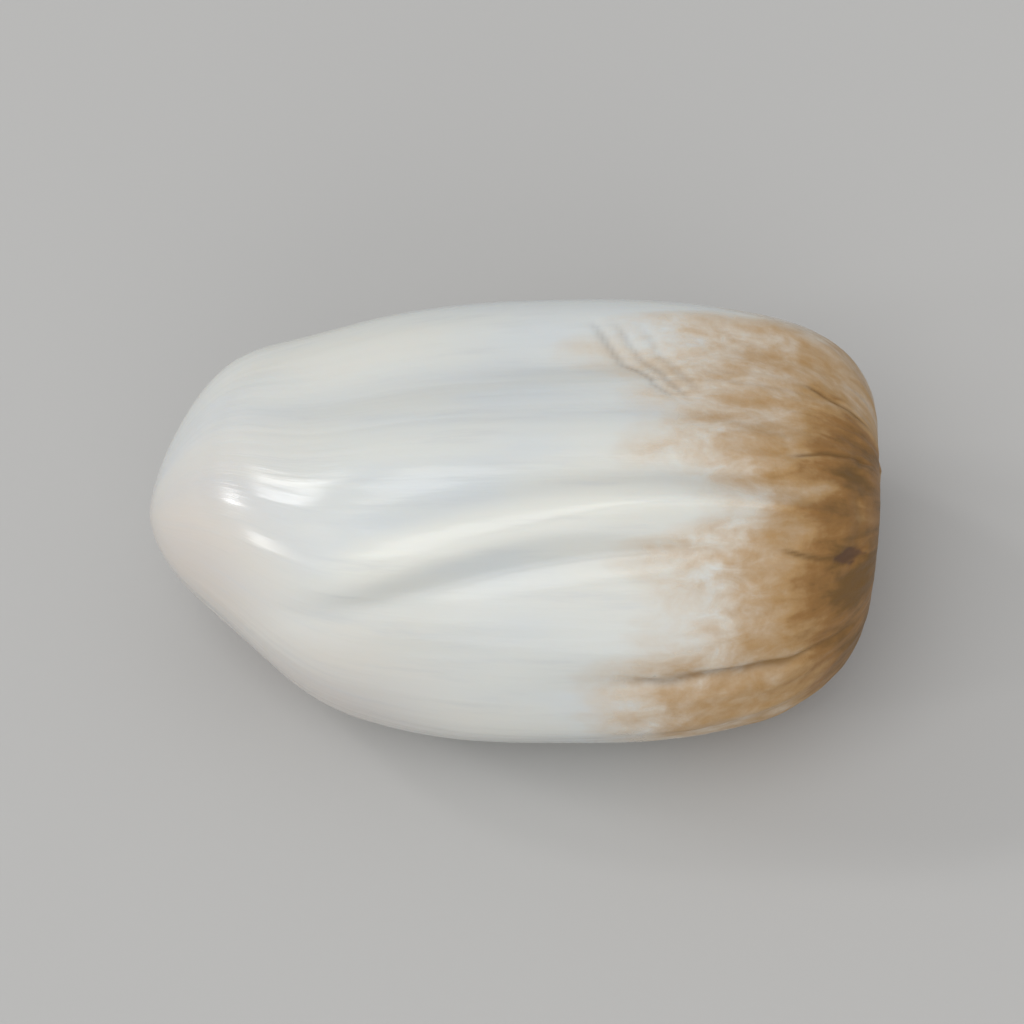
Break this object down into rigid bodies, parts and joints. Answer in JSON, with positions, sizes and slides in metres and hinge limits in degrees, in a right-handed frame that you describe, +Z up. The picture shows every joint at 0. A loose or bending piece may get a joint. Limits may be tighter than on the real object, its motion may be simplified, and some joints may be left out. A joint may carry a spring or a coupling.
{
  "type": "safflower seed",
  "caption": "Ribbed four-angled safflower seed with a blunt tan crown and a tapered end, lying on a small flat spot.",
  "frame": {"origin": "middle of the bottom of the seed's box, on the surface that it lies on", "axes": "+X along the seed from its tapered attachment end to its blunt crown, +Z up as it lies, -Y the front"},
  "size_m": [0.0076, 0.0048, 0.0037],
  "materials": {
    "seed_coat": "satin ivory seed coat, stained tan at the crown"
  },
  "bodies": {
    "root": {"safflower_seed": "seed_coat"}
  },
  "joints": []
}
